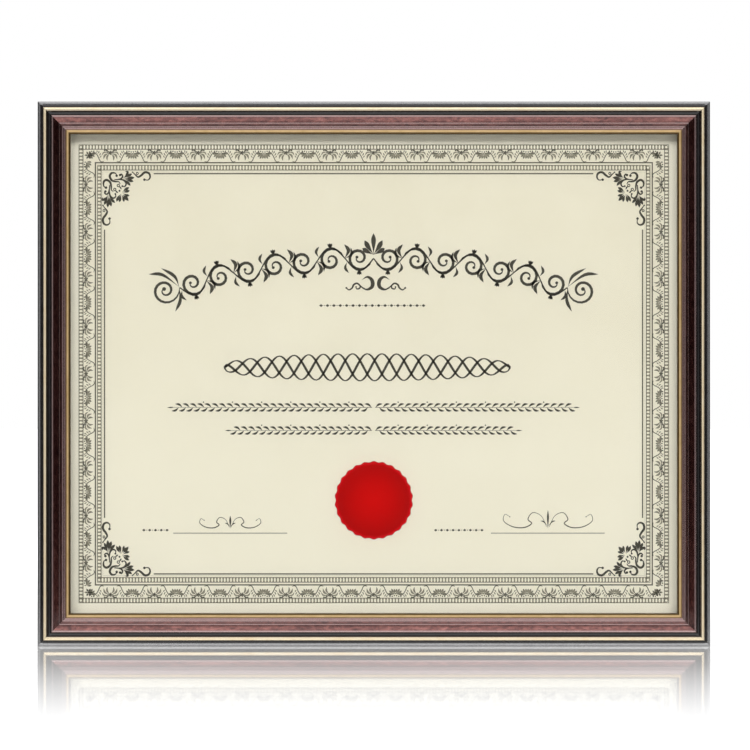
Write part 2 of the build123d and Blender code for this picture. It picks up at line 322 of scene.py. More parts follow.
def gilding(name, bright, deep, roughness, matt, crown, flank_shade_colour, flank_shade_metallic):
    """Leaf over red clay: streaky, partly matt, rubbed through in specks, and with painted shade on its
    flanks.
    """
    finish = Finish(name, {"Coat Weight": 0.6, "Coat Roughness": 0.05})
    crest = finish.read("crest")
    streaks = finish.noise(0.22, detail=6, roughness=0.6)
    specks = finish.noise(2.6, detail=4, roughness=0.7)
    rubbed = (specks + crest * 0.1).within(0.79, 0.87)
    leaf = finish.ramp(streaks, (0.32, deep), (0.62, bright))
    # Painted shade: away from the crest the leaf is mixed towards a darker colour on the flanks and made
    # more metallic there
    flank_shade = (1 - crest).within(*crown) * 0.85
    finish.set("Base Color", finish.mix(rubbed * 0.7, finish.mix(flank_shade, leaf, flank_shade_colour), (0.20, 0.07, 0.03)))
    finish.set("Metallic", (1 - matt) + flank_shade * flank_shade_metallic - rubbed * 0.5)
    finish.set("Roughness", roughness + streaks * 0.08 + rubbed * 0.3)
    finish.bump(specks, 0.006, 0.5)
    return finish


def burl(name, axis, shade_factor=1.0):
    """Polished mahogany burl under a clear coat, with its figure drawn out along the rail. Its shade factor
    darkens every tone, for a copy with painted shade.
    """
    finish = Finish(name, {"Coat Weight": 1.0, "Coat Roughness": 0.03})
    figure = finish.noise(1.0, detail=6, roughness=0.62, distortion=1.6,
                          place=finish.stretched(0.62, 0.26, axis))
    eyes = finish.cells(1.0, place=finish.stretched(0.8, 0.4, axis))
    pores = finish.noise(1.0, detail=3, roughness=0.7, place=finish.stretched(0.5, 6.0, axis))
    patches = finish.noise(1.0, detail=1, place=finish.stretched(0.06, 0.035, axis))
    tone = figure * 0.62 + patches * 0.16 + eyes * 0.2 + pores * 0.2 - 0.04
    tones = ((0.38, (0.055, 0.013, 0.012)), (0.5, (0.14, 0.043, 0.038)),
             (0.6, (0.22, 0.078, 0.066)), (0.74, (0.36, 0.15, 0.135)))
    tones = [(place, [shade_factor * part for part in colour]) for place, colour in tones]
    finish.set("Base Color", finish.ramp(tone, *tones))
    finish.set("Metallic", 0.97 - pores * 0.06)
    finish.set("Roughness", 0.14 + pores * 0.1)
    finish.bump(pores * 0.4 + figure * 0.6, 0.01, 0.4)
    return finish


def bare_wood(name, axis):
    """Planed softwood with its grain along the rail."""
    finish = Finish(name, {"Specular IOR Level": 0.3})
    rings = finish.noise(1.0, detail=4, distortion=0.6, place=finish.stretched(0.9, 0.03, axis))
    fibre = finish.noise(1.0, detail=5, roughness=0.7, place=finish.stretched(6.0, 0.22, axis))
    tone = rings * 0.6 + fibre * 0.4
    finish.set("Base Color", finish.ramp(
        tone, (0.3, (0.33, 0.20, 0.10)), (0.5, (0.52, 0.36, 0.21)), (0.72, (0.63, 0.47, 0.30))))
    finish.set("Roughness", 0.62 + fibre * 0.2)
    finish.bump(fibre, 0.05, 0.6)
    return finish


def clear_glass():
    """Picture glass with its reflection damped: clear from the front, a mirror towards its edge-on view."""
    finish = Finish("clear_glass", {"Base Color": (0.94, 0.98, 0.97), "Metallic": 1.0, "Roughness": 0.02})
    smear = finish.noise(0.02, detail=3).within(0.45, 0.8)
    mirror = finish.node("ShaderNodeFresnel", None, {"IOR": 1.5})
    finish.set("Alpha", (mirror - 0.034) * 0.9 + smear * 0.004)
    return finish


# Where the paper is painted lighter to stand in for light: beyond this half size of the sheet, in the
# margins that the rails shade, and more and more towards its foot, where the lamp's light falls off
painted_light_half = complex(114.0, 87.0)
painted_light_reach = 5.0
painted_light_from, painted_light_to, painted_light_share = 90, -110, 0.62


def paper():
    """Cream laid paper: soft clouds, short fibres and a fine tooth, with painted light near its edges and
    towards its foot.
    """
    finish = Finish("cream_paper", {"Specular IOR Level": 0.25, "Roughness": 0.8})
    clouds = finish.noise(0.035, detail=4)
    fibres = finish.noise(1.0, detail=2, roughness=0.7, distortion=1.2, place=finish.stretched(1.8, 0.5, 0))
    tone = clouds * 0.6 + fibres * 0.4
    sheet = finish.ramp(tone, (0.3, (0.80, 0.752, 0.594)), (0.7, (0.85, 0.806, 0.656)))
    across, _, up = finish.parts(finish.place)
    up = up - middle
    # Painted light: the margins that the rails shade, and the lower part of the sheet, are mixed towards a
    # paler colour
    edges = [place.size().within(start, start + painted_light_reach)
             for place, start in ((across, painted_light_half.real), (up, painted_light_half.imag))]
    painted_light = edges[0].larger(edges[1]).larger(up.within(painted_light_from, painted_light_to) * painted_light_share)
    finish.set("Base Color", finish.mix(painted_light, sheet, (0.955, 0.912, 0.762)))
    finish.bump(fibres * 0.6 + finish.noise(7.0, detail=2) * 0.4, 0.02, 0.35)
    return finish


def ink(name, weight):
    """Grey-brown printing ink that lies a little unevenly. Its weight makes it paler."""
    finish = Finish(name, {"Specular IOR Level": 0.3})
    cover = finish.noise(3.0, detail=3)
    low = [weight * part for part in (0.045, 0.042, 0.031)]
    high = [weight * part for part in (0.085, 0.079, 0.06)]
    finish.set("Base Color", finish.ramp(cover, (0.3, low), (0.75, high)))
    finish.set("Roughness", 0.5 + cover * 0.25)
    return finish


def seal_paper():
    """Red embossed paper with painted light and shade: brightest in the middle of its disc and on the rim,
    darker towards the disc's edge, with a thin painted shadow at the outer edge.
    """
    finish = Finish("red_seal", {"Specular IOR Level": 0.06})
    reach = finish.read("crest")
    tooth = finish.noise(4.5, detail=3)
    # Painted shade: the disc darkens from its middle to its edge, and the outermost edge is darkened as a
    # shadow
    disc = finish.ramp(reach, (0.0, (0.68, 0.0, 0.0)), (0.45, (0.60, 0.0, 0.0)), (0.89, (0.45, 0.0, 0.0)),
                       (0.93, (0.60, 0.002, 0.005)), (0.985, (0.62, 0.004, 0.01)), (1.0, (0.25, 0.0, 0.0)))
    finish.set("Base Color", finish.mix(tooth * 0.1, disc, (0.32, 0.0, 0.0)))
    finish.set("Roughness", 0.42 + tooth * 0.15)
    finish.bump(tooth, 0.02, 0.5)
    return finish


def board(name, low, high, depth):
    """Board faced with grained paper: pebbles, and scuffs that catch the light."""
    finish = Finish(name, {"Specular IOR Level": 0.4})
    pebbles = finish.cells(1.1)
    scuffs = finish.noise(0.05, detail=9, roughness=0.75).within(0.42, 0.72)
    finish.set("Base Color", finish.mix(pebbles * 0.45 + scuffs * 0.55, low, high))
    finish.set("Roughness", 0.42 + scuffs * 0.25 + pebbles * 0.1)
    finish.bump(pebbles * 0.8 + finish.noise(3.5) * 0.2, depth)
    return finish


def metal(name, bright, dull, roughness):
    """Rolled or plated metal: fine brushing, soft clouds and a few dull spots."""
    finish = Finish(name)
    brushing = finish.noise(1.0, detail=4, roughness=0.7, place=finish.stretched(7.0, 0.5, 0))
    clouds = finish.noise(0.25, detail=5)
    spots = finish.noise(1.6).within(0.64, 0.76)
    finish.set("Base Color", finish.mix(spots * 0.7 + clouds * 0.3, bright, dull))
    finish.set("Metallic", 1 - spots * 0.25)
    finish.set("Roughness", roughness + brushing * 0.12 + spots * 0.2)
    finish.bump(brushing, 0.012, 0.6)
    return finish


# The moulding: the bands of its face from the outer edge inwards, with the rise over each band,
# the bulge of its arc and its finish
GRAPHITE, LACQUER, GILT, MAUVE, BURL, SHADED_BURL, SIGHT_GILT, BRONZE, BARE = range(9)
Band = namedtuple("Band", "width rise bulge finish")
bands = {
    "edge_bead": Band(1.35, 0.2, 0.5, GRAPHITE),
    "cove": Band(0.75, 0.8, -0.2, LACQUER),
    "gilt_bead": Band(1.9, 0.1, 0.85, GILT),
    "groove": Band(1.4, 0.1, -0.55, LACQUER),
    "shoulder": Band(0.8, 0.4, 0.2, MAUVE),
    "field": Band(2.3, -1.2, 0.1, BURL),
    "step": Band(0.35, -0.4, 0.08, MAUVE),
    # The apron's burl is a darker copy: painted shade below the step
    "apron": Band(0.95, -0.35, 0, SHADED_BURL),
    "fillet": Band(0.55, -0.35, 0.15, MAUVE),
    "hollow": Band(0.75, -0.1, -0.3, MAUVE),
    "sight_bead": Band(1.9, -0.6, 0.7, SIGHT_GILT),
}
wall_height = 13.0
bronze_start = 12.2
# Below this crest the rising outer side of the gilt bead is black lacquer: a dark finish that stands in for
# shade there
shaded_flank_crest = 0.66
crest_lean = 0.85
arc_step = 0.12
mitre_seam = 0.02


def along_band(start, band):
    """Points along a band's arc after its start, and how near each is to the crest, from 0 to 1."""
    chord = complex(band.width, band.rise)
    if not band.bulge:
        return [(start + chord, 0.0)]
    half = abs(chord) / 2
    radius = (half ** 2 + band.bulge ** 2) / (2 * band.bulge)
    centre = start + chord / 2 + 1j * chord / abs(chord) * (band.bulge - radius)
    sweep = 2 * asin(max(-1.0, min(1.0, half / radius)))
    steps = max(3, round(abs(sweep * radius) / arc_step))
    shares = [step / steps for step in range(1, steps + 1)]
    return [(centre + (start - centre) * cmath.exp(-1j * sweep * share), sin(pi * share ** crest_lean))
            for share in shares]


def moulding_outline():
    """The outline's points, u plus 1j times v, their crests, and the finish of the side after each."""
    points, crests, finishes = [0j, 1j * wall_height], [0.0, 0.0], [LACQUER]
    for band in bands.values():
        for point, crest in along_band(points[-1], band):
            finish = BRONZE if points[-1].real > bronze_start else band.finish
            # Black lacquer on the gilt bead's rising outer side: a dark finish that stands in for shade
            shaded_outer_flank = finish == GILT and crests[-1] < crest < shaded_flank_crest
            finishes.append(LACQUER if shaded_outer_flank else finish)
            points.append(point)
            crests.append(crest)
    finishes.append(BRONZE)
    for corner in ((rail_width, rabbet_depth), (rabbet_wall, rabbet_depth), (rabbet_wall, 0)):
        points.append(complex(*corner))
        crests.append(0.0)
        finishes.append(BARE)
    return points, crests, finishes


def rails():
    """The four rails, mitred, with a hairline seam between them."""
    points, crests, finishes = moulding_outline()
    finish = {
        GRAPHITE: lustre("graphite_edge", (0.50, 0.50, 0.505), (0.36, 0.36, 0.365), 0.95, 0.14),
        LACQUER: lacquer(),
        GILT: gilding("gilt_bead", (1.0, 0.86, 0.60), (0.95, 0.76, 0.48), roughness=0.2, matt=0.5,
                      crown=(0.02, 0.3), flank_shade_colour=(0.33, 0.28, 0.22), flank_shade_metallic=0.58),
        MAUVE: lustre("mauve_line", (0.58, 0.42, 0.41), (0.42, 0.29, 0.285), 0.98, 0.1),
        SIGHT_GILT: gilding("gilt_sight_edge", (0.70, 0.49, 0.235), (0.58, 0.39, 0.165), roughness=0.36,
                            matt=0.45, crown=(0.08, 0.6), flank_shade_colour=(0.20, 0.11, 0.045), flank_shade_metallic=0.0),
        BRONZE: lustre("bronze_lip", (0.17, 0.10, 0.03), (0.10, 0.055, 0.015), 0.7, 0.34),
    }
    sides = {
        "top": (Vector((0, back, height)), Vector((0, 0, -1)), half_width),
        "bottom": (Vector((0, back, 0)), Vector((0, 0, 1)), half_width),
        "left": (Vector((-half_width, back, middle)), Vector((1, 0, 0)), middle),
        "right": (Vector((half_width, back, middle)), Vector((-1, 0, 0)), middle),
    }
    forwards = Vector((0, -1, 0))
    grain = {}
    for axis, run in ((0, "across"), (2, "upright")):
        # The second burl is a copy darkened to 0.65: painted shade for the apron
        grain[axis] = (burl(f"burl_{run}", axis), burl(f"shaded_burl_{run}", axis, 0.65),
                       bare_wood(f"bare_wood_{run}", axis))
    for side, (edge, inwards, reach) in sides.items():
        along = inwards.cross(forwards)
        axis = 0 if abs(along.x) > 0.5 else 2
        shape = Shape()
        shape.loft([
            [edge + inwards * p.real + forwards * p.imag + along * end * (reach - p.real - mitre_seam)
             for p in points] for end in (-1, 1)], finishes=finishes)
        finish[BURL], finish[SHADED_BURL], finish[BARE] = grain[axis]
        materials = [finish[band] for band in range(BARE + 1)]
        piece = made(f"moulding_{side}", shape.mesh(side), materials, "frame", [f"rail_{side}"])
        attribute(piece, "crest", crests * 2)


# The print, drawn in millimetres as complex numbers: across plus 1j times up, from the sheet's middle
ink_front = 0.03
ink_back = 0.01
least_width = 0.04
small_dot = 0.35
DARK, MIDDLE, PALE = range(3)


class Pen:
    """Draws thin solids of ink on the sheet. Its drawing goes through place on its way there."""

    def __init__(self, shape, place=lambda point: point, tone=DARK):
        self.shape, self.place, self.tone = shape, place, tone

    def through(self, change):
        """A pen whose drawing is changed first."""
        return Pen(self.shape, lambda point: self.place(change(point)), self.tone)

    def at(self, place):
        """A pen whose drawing is moved to a place."""
        return self.through(lambda point: point + place)

    def halves(self):
        """A pen for the right half of a drawing and one for its mirrored half."""
        return self, self.through(lambda point: complex(-point.real, point.imag))

    def flank_shade(self, tone):
        """A pen of another ink."""
        return Pen(self.shape, self.place, tone)

    def film(self, sides, closed=False):
        """A film of ink between the two sides of a line."""
        rings = [[Vector((p.real, paper_front + y, middle + p.imag))
                  for p, y in ((left, -ink_front), (right, -ink_front), (right, ink_back), (left, ink_back))]
                 for left, right in sides]
        self.shape.loft(rings, looped=closed, finishes=[self.tone] * 4)

    def stroke(self, line, widths, closed=False):
        """A stroke of the given widths, one for each point of its line."""
        line = [self.place(point) for point in line]
        last = len(line) - 1
        sides = []
        for i, (point, width) in enumerate(zip(line, widths)):
            before = line[i - 1] if i or closed else line[0]
            after = line[(i + 1) % len(line)] if i < last or closed else line[last]
            side = 1j * (after - before) / abs(after - before) * max(width, least_width) / 2
            sides.append((point + side, point - side))
        self.film(sides, closed)

    def ring(self, centre, radius, width):
        """A ring drawn with a stroke of a width."""
        line = circle(radius, 12, centre)
        self.stroke(line, [width] * len(line), closed=True)

    def dot(self, centre, radius):
        """A round dot of a radius on the sheet, as a short stroke that swells and narrows."""
        steps = 4 if radius < small_dot else 6
        turns = [pi * step / steps for step in range(steps + 1)]
        centre = self.place(centre)
        line = [centre + radius * cos(turn) for turn in turns]
        Pen(self.shape, tone=self.tone).stroke(line, [2 * radius * sin(turn) for turn in turns])

    def leaf(self, line, width, tip=1.0):
        """A leaf along a line, pointed at both ends and widest nearer its end where tip is over 1."""
        line = smooth(line)
        self.stroke(line, swelling(line, 0, width, tip))

    def swash(self, line, thin, thick):
        """A pen stroke through points, thick in its middle, with a rounded drop where it ends."""
        line = smooth(line)
        self.stroke(line, swelling(line, thin, thick, fullness=1.5))
        self.dot(line[-1], thick * 0.55)


def swell(share, power=1.0):
    """How full a stroke is at a share of its length: nothing at both ends and 1 in its middle."""
    return max(0.0, sin(pi * share)) ** power


def swelling(line, thin, thick, lean=1.0, fullness=1.0):
    """A width for each point of a line, from thin to thick and back. Lean moves the thickest place."""
    last = len(line) - 1
    return [thin + (thick - thin) * swell((i / last) ** lean, fullness) for i in range(last + 1)]


def smooth(points, steps=4):
    """A smooth line through points."""
    ends = [2 * points[0] - points[1], *points, 2 * points[-1] - points[-2]]
    line = []
    for a, b, c, d in zip(ends, ends[1:], ends[2:], ends[3:]):
        for step in range(steps):
            t = step / steps
            bend = 2 * b + t * (c - a) + t ** 2 * (2 * a - 5 * b + 4 * c - d)
            line.append((bend + t ** 3 * (d - a + 3 * (b - c))) / 2)
    return line + [points[-1]]


def spiral(centre, start, turns, end_share=0.16, steps=22):
    """A line that winds in on centre from start, to end_share of its first radius."""
    spans = [step / steps for step in range(steps + 1)]
    return [centre + (start - centre) * (1 - (1 - end_share) * t ** 0.8) * cmath.exp(1j * tau * turns * t)
            for t in spans]


def rectangle(pen, half, width):
    """A ruled rectangle about the middle. Half is half its width plus 1j times half its height."""
    reach = width / 2
    pen.film([[complex(x * (half.real + out), y * (half.imag + out)) for out in (reach, -reach)]
              for x, y in square], closed=True)


# The printed border: half sizes across and up, from the outer row of beads inwards
border_half = complex(117.5, 91.25)
outer_rows = complex(1.67, 1.85)
garland_end = complex(110.95, 84.12)
inner_half = complex(110.1, 83.1)
inner_rows = complex(1.5, 1.95)
hairline_half = complex(108.0, 80.4)
rule_half = complex(107.2, 79.75)
rule_gap = complex(19.6, 22.3)
rule_width = 0.5
corner_stretch = complex(0.945, 1.054)
fan_gap = 0.14
line_width = 0.28
bead_pitch = complex(1.246, 1.389)
garland_pitch = complex(17.48, 18.85)
garland_depth = 5.28
print_shift = -0.12


def bead_row(pen, length, depth, pitch):
    """Bars between two rules, each wide at its ends, so that oval beads show between them."""
    count = round(length / pitch)
    pitch = length / count
    stations = [depth * share for share in (0, 0.12, 0.35, 0.65, 0.88, 1)]
    widths = [pitch * share for share in (1.0, 0.66, 0.4, 0.4, 0.66, 1.0)]
    for bar in range(count + 1):
        place = bar * pitch - length / 2
        pen.stroke([complex(place, station) for station in stations], widths)


def edges(half):
    """The four sides of a rectangle: a change from along and inwards to the sheet, and the half length."""
    return [
        (lambda p: complex(p.real, half.imag - p.imag), half.real),
        (lambda p: complex(p.real, p.imag - half.imag), half.real),
        (lambda p: complex(p.imag - half.real, p.real), half.imag),
        (lambda p: complex(half.real - p.imag, p.real), half.imag),
    ]


def corners(half):
    """The four corners of a rectangle: a change from across and down from the corner to the sheet."""
    def change(x, y):
        return lambda p: complex(x * (half.real - p.real), y * (half.imag - p.imag))
    return [change(x, y) for x in (-1, 1) for y in (-1, 1)]


def bead_rows(pen, half, rows):
    """Beads all round between two ruled rectangles, with a ring at each corner."""
    rectangle(pen, half, line_width)
    rectangle(pen, half - rows, line_width)
    for i, (change, reach) in enumerate(edges(half)):
        level = i < 2
        depth, clear = (rows.imag, rows.real) if level else (rows.real, rows.imag)
        pitch = bead_pitch.real if level else bead_pitch.imag
        bead_row(pen.through(change), 2 * (reach - clear), depth, pitch)
    for change in corners(half):
        pen.through(change).ring(rows / 2, abs(rows) * 0.26, line_width)


def hanging_rose(pen):
    """A rose that hangs from two knots, over drooping leaves."""
    for half in pen.halves():
        pale = half.flank_shade(PALE)
        pale.leaf([0.5 + 1.8j, 1.35 + 3.0j, 1.2 + 4.5j], 0.75)
        pale.leaf([0.8 + 1.6j, 2.2 + 2.3j, 2.7 + 3.9j], 0.8)
        pale.leaf([1.0 + 1.1j, 2.6 + 1.2j, 3.4 + 2.4j], 0.6)
        half.leaf([0.6 + 2.1j, 1.25 + 3.1j, 1.2 + 4.1j], 0.16)
        half.leaf([1.1 + 1.9j, 2.1 + 2.5j, 2.6 + 3.5j], 0.16)
        half.leaf([2.5 + 0.1j, 1.6 + 0.3j, 0.5 + 1.1j], 0.6, 1.2)
        half.leaf([1.9 + 1.0j, 1.3 + 1.1j, 0.5 + 1.6j], 0.4, 1.2)
        half.dot(2.3 + 0.35j, 0.32)
    for petal in circle(0.55, 5, 1.35j):
        pen.leaf([1.35j, petal, 1.35j + 1.7 * (petal - 1.35j)], 0.62, 1.2)
    pen.flank_shade(DARK).dot(1.35j, 0.3)


def leafy_half_arch(pen):
    """Half an arch: a stem from its foot on the rule up to a spray of leaves and berries."""
    stem = smooth([6.2 + 4.7j, 5.2 + 4.95j, 4.55 + 4.4j, 4.1 + 3.4j, 3.6 + 2.4j, 2.9 + 1.5j, 1.9 + 1.0j])
    pen.stroke(stem, [0.14, 0.2, 0.26, 0.3] + [0.34] * (len(stem) - 4))
    pale = pen.flank_shade(PALE)
    for start, tip in ((4.3 + 3.4j, 5.0 + 2.6j), (4.0 + 2.6j, 4.75 + 1.6j), (3.5 + 1.8j, 4.2 + 0.75j)):
        pale.leaf([start, start + 0.6 * (tip - start) + 0.15, tip], 0.5, 1.3)
        pen.dot(tip, 0.17)
    pen.leaf([2.9 + 1.4j, 3.5 + 0.8j, 3.3 + 0.25j], 0.32)
    for bend, tip in ((1.7 + 1.6j, 2.95 + 1.9j), (1.6 + 2.2j, 2.5 + 3.0j), (1.1 + 2.7j, 1.6 + 3.75j),
                      (0.35 + 2.6j, 0.5 + 3.75j)):
        pale.leaf([0.4 + 1.5j, bend, tip], 0.8, 1.5)
        pen.leaf([0.9 * bend + 0.1 * tip, 0.5 * (bend + tip), tip], 0.26, 1.2)
    for berry in (0.45 + 1.0j, 1.3 + 0.75j, 2.15 + 0.7j, 0.95 + 1.7j, 1.75 + 1.45j):
        pen.flank_shade(DARK).dot(berry, 0.27)


def leafy_arch(pen):
    """Both halves, with a berry between them."""
    for half in pen.halves():
        leafy_half_arch(half)
    pen.dot(1.75j, 0.28)


def on_side(change, place, stretch):
    """A change that stretches a drawing across and inwards and puts it at a place along a side."""
    return lambda p: change(complex(place + p.real * stretch.real, p.imag * stretch.imag))


def garland(pen):
    """Roses and leafy arches by turns between the beads and the rule, with a flower at each corner."""
    pen = pen.flank_shade(MIDDLE)
    start = border_half - outer_rows
    depths = start - garland_end
    for i, (change, reach) in enumerate(edges(start)):
        pitch, depth = (garland_pitch.real, depths.imag) if i < 2 else (garland_pitch.imag, depths.real)
        roses = int((reach - pitch / 3) / pitch)
        stretch = complex(pitch / garland_pitch.real, depth / garland_depth)
        for rose in range(-roses, roses + 1):
            hanging_rose(pen.through(on_side(change, rose * pitch, stretch)))
        for gap in range(-roses, roses):
            leafy_arch(pen.through(on_side(change, (gap + 0.5) * pitch, stretch)))
        for end in (-1, 1):
            inwards = complex(-end * stretch.real, stretch.imag)
            leafy_half_arch(pen.through(on_side(change, end * (roses + 0.5) * pitch, inwards)))
    centre = 2.3 + 2.3j
    for change in corners(start):
        flower = pen.through(change)
        for petal in circle(0.9, 6, centre):
            flower.flank_shade(PALE).leaf([centre, petal, centre + 1.9 * (petal - centre)], 0.7, 1.3)
            flower.dot(petal, 0.34)
        flower.dot(centre, 0.34)


def corner_ornament(pen):
    """Scrolls, a fan of leaves and a trefoil in a corner, alike on both sides of its diagonal."""
    pen = pen.through(lambda p: complex(p.real * corner_stretch.real, p.imag * corner_stretch.imag))
    for half in (pen, pen.through(lambda p: complex(p.imag, p.real))):
        half.swash([8.1 + 5.2j, 7.4 + 4.35j, 6.1 + 4.3j, 4.5 + 3.8j, 3.7 + 2.4j, 4.2 + 1.3j,
                    5.2 + 1.0j, 6.2 + 1.3j, 6.6 + 2.1j], 0.32, 0.92)
        half.swash([5.6 + 3.6j, 8.1 + 3.5j, 9.8 + 3.95j, 10.6 + 5.1j, 10.0 + 6.2j, 9.0 + 6.05j], 0.32, 0.7)
        half.swash([5.8 + 3.7j, 7.3 + 3.5j, 8.6 + 3.1j, 9.1 + 2.3j, 8.6 + 1.45j, 8.0 + 1.8j], 0.28, 0.66)
        half.dot(8.05 + 1.85j, 0.5)
        half.ring(7.3 + 5.8j, 0.48, 0.36)
        half.leaf([7.6 + 6.0j, 8.2 + 6.6j, 8.6 + 7.3j], 0.6)
        fan = ((10.7 + 2.0j, 11.5 + 0.5j, 1.15), (11.4 + 2.2j, 13.1 + 1.3j, 1.1),
               (11.8 + 3.0j, 14.1 + 2.8j, 1.25), (11.7 + 3.8j, 13.7 + 4.3j, 1.2),
               (11.0 + 4.4j, 12.4 + 5.9j, 1.1))
        trefoil = ((10.3 + 7.3j, 11.9 + 6.5j, 1.1), (10.6 + 8.1j, 12.1 + 7.7j, 1.1),
                   (10.6 + 9.4j, 12.0 + 9.7j, 1.0))
        for base, fullest, leaves in ((9.1 + 3.1j, 1.9, fan), (8.8 + 8.5j, 1.7, trefoil)):
            for bend, tip, width in leaves:
                half.leaf([base + fan_gap * (bend - base), bend, tip], width, fullest)
        half.leaf([11.6 + 1.2j, 11.2 + 0.6j, 10.2 + 0.55j], 0.75)
        half.swash([13.3 + 0.8j, 14.3 + 1.6j, 15.6 + 2.6j, 16.9 + 2.0j, 18.5 + 0.8j, 20.2 + 1.2j,
                    20.7 + 2.6j, 19.9 + 3.7j, 18.3 + 3.6j], 0.32, 0.92)
        half.ring(15.3 + 1.25j, 0.42, 0.34)
        half.dot(13.3 + 0.8j, 0.32)
    pen.leaf([9.3 + 9.3j, 10.4 + 10.4j, 11.6 + 11.6j], 1.4, 1.2)
    pen.dot(7.8 + 7.8j, 0.4)


def corner_ornaments(pen):
    """The ornament in each corner of the inner rule."""
    for change in corners(inner_half - inner_rows):
        corner_ornament(pen.through(change))


def broken_rule(pen):
    """The thin inner rule, which stops short of the corner ornaments."""
    for x, y in ((1, 0), (-1, 0), (0, 1), (0, -1)):
        middle_point = complex(x * rule_half.real, y * rule_half.imag)
        run = complex(y * (rule_half.real - rule_gap.real), x * (rule_half.imag - rule_gap.imag))
        pen.stroke([middle_point - run, middle_point + run], [rule_width] * 2)


def border(pen):
    """The rows of beads and the rules on both sides of the garland."""
    beads = pen.flank_shade(PALE)
    bead_rows(beads, border_half, outer_rows)
    bead_rows(beads, inner_half, inner_rows)
    rectangle(pen.flank_shade(MIDDLE), garland_end, rule_width)
    rectangle(pen, hairline_half, least_width)
    broken_rule(pen.flank_shade(MIDDLE))


def arch(centre_height, radius):
    """A change that bends a level line over an arch."""
    return lambda p: complex((radius + p.imag) * sin(p.real / radius),
                             centre_height - radius + (radius + p.imag) * cos(p.real / radius))


def running_scroll(pen, bays, bay, thin, thick):
    """A stem that waves away from the middle on both sides, with a scroll, a bud and leaves in each bay."""
    steps = [step / 8 for step in range(9)]
    stem = [complex(t, 0.42 * sin(pi * t)) for t in steps]
    scroll = spiral(0.52 - 0.02j, 0.04 + 0.04j, -1.55)
    bud = 0.52 + 0.42j

    def in_bay(number, up):
        return lambda p: complex((number + p.real) * bay, up * p.imag * bay)

    for half in pen.halves():
        for number in range(bays):
            part = half.through(in_bay(number, 1 if number % 2 else -1))
            part.stroke(stem, [thick * (0.6 + 0.4 * sin(pi * t)) for t in steps])
            part.stroke(scroll, swelling(scroll, thin, thick * 1.5, 0.8))
            part.dot(scroll[-1], thick * 0.75)
            if number:
                part.leaf([0.02 + 0.02j, -0.12 + 0.3j, 0.02 + 0.52j], thick * 1.9, 1.2)
                part.leaf([0.0 + 0.02j, -0.22 + 0.16j, -0.2 + 0.4j], thick * 1.4, 1.2)
            part.leaf([0.95 + 0.12j, 1.02 + 0.32j, 0.9 + 0.5j], thick * 1.4, 1.2)
            for turn in (-0.5, 0.0, 0.5):
                bend, tip = 0.09j * cmath.exp(-0.8j * turn), 0.17j * cmath.exp(-1j * turn)
                part.leaf([bud, bud + bend, bud + tip], thick * 1.2)


def end_scroll(pen, radius, thin, thick):
    """A large scroll that closes a line, with a leaf on its back."""
    line = spiral(radius * (0.9 + 0.1j), 0j, 1.7, 0.12, 30)
    pen.stroke(line, swelling(line, thin, thick, 0.7))
    pen.dot(line[-1], thick * 0.7)
    for bend, tip in ((0.1 + 0.75j, 0.7 + 1.45j), (0.75 + 1.05j, 1.5 + 1.35j), (0.2 - 0.75j, 0.7 - 1.3j)):
        pen.leaf([radius * p for p in (0.02 + 0.05j, bend, tip)], thick * 1.2, 1.4)


def palmette(pen, size, width):
    """An upright fan of leaves."""
    for lean in (-60, -32, 0, 32, 60):
        tip = cmath.rect(size * (1 - abs(lean) / 150), radians(90 - lean))
        pen.leaf([0j, tip * 0.55 + 0.04 * size * lean / 60, tip], width, 1.5)


def braid(pen, half_length, half_height, eyes, strands, width):
    """Strands that wind round one another, and come together at both ends."""
    count = eyes * 10
    places = [2 * i / count - 1 for i in range(count + 1)]
    for strand in range(strands):
        turns = [pi * (eyes * (t + 1) / 2 + 2 * (strand / strands)) for t in places]
        line = [complex(half_length * t, half_height * swell((t + 1) / 2, 0.35) * sin(turn))
                for t, turn in zip(places, turns)]
        pen.stroke(line, [width * (0.45 + 0.55 * abs(cos(turn))) for turn in turns])


def laurel(pen, half_length, leaf_length, pitch):
    """Two branches that meet in the middle, with paired leaves and now and then a berry."""
    for half in pen.halves():
        half.stroke([0.6 + 0j, half_length + 0j], [0.2, 0.12])
        for number in range(int(half_length / pitch)):
            base = complex(0.8 + number * pitch, 0)
            for up in (-1, 1):
                start = base + (pitch / 2 if up < 0 else 0)
                half.leaf([start, start + complex(0.45 * leaf_length, up * 0.42 * leaf_length),
                           start + complex(leaf_length, up * 0.5 * leaf_length)], 0.3 * leaf_length, 1.1)
            if number % 4 == 3:
                half.dot(base + complex(pitch * 0.1, 0.75 * leaf_length), 0.28)
        half.leaf([half_length - 0.4 + 0j, half_length + 0.8 + 0j, half_length + 2.2 + 0j], 0.5)


def divider(pen):
    """A pair of crescents back to back, whose tails rise, curl and run out to both sides."""
    for half in pen.halves():
        half.leaf([4.3 - 1.4j, 2.7 - 1.8j, 1.3 - 1.1j, 0.95 + 0.1j, 1.4 + 1.4j, 2.7 + 2.1j,
                   4.3 + 1.2j], 1.55)
        half.swash([3.0 - 1.75j, 4.4 - 1.0j, 5.7 + 0.1j, 6.8 - 0.3j, 7.3 - 1.3j, 8.3 - 1.9j,
                    9.1 - 1.3j], 0.4, 0.72)
        half.swash([5.8 + 0.1j, 4.9 - 0.5j, 5.0 - 1.4j, 5.9 - 1.6j, 6.1 - 1.0j], 0.3, 0.6)


def lozenges(pen, half_length, pitch, size):
    """A level row of lozenges with a dot between each pair."""
    count = round(2 * half_length / pitch)
    for number in range(count + 1):
        place = complex(number * pitch - half_length, 0)
        pen.stroke([place - size, place, place + size], [0, 1.6 * size, 0])
        if number < count:
            pen.dot(place + pitch / 2, size * 0.28)


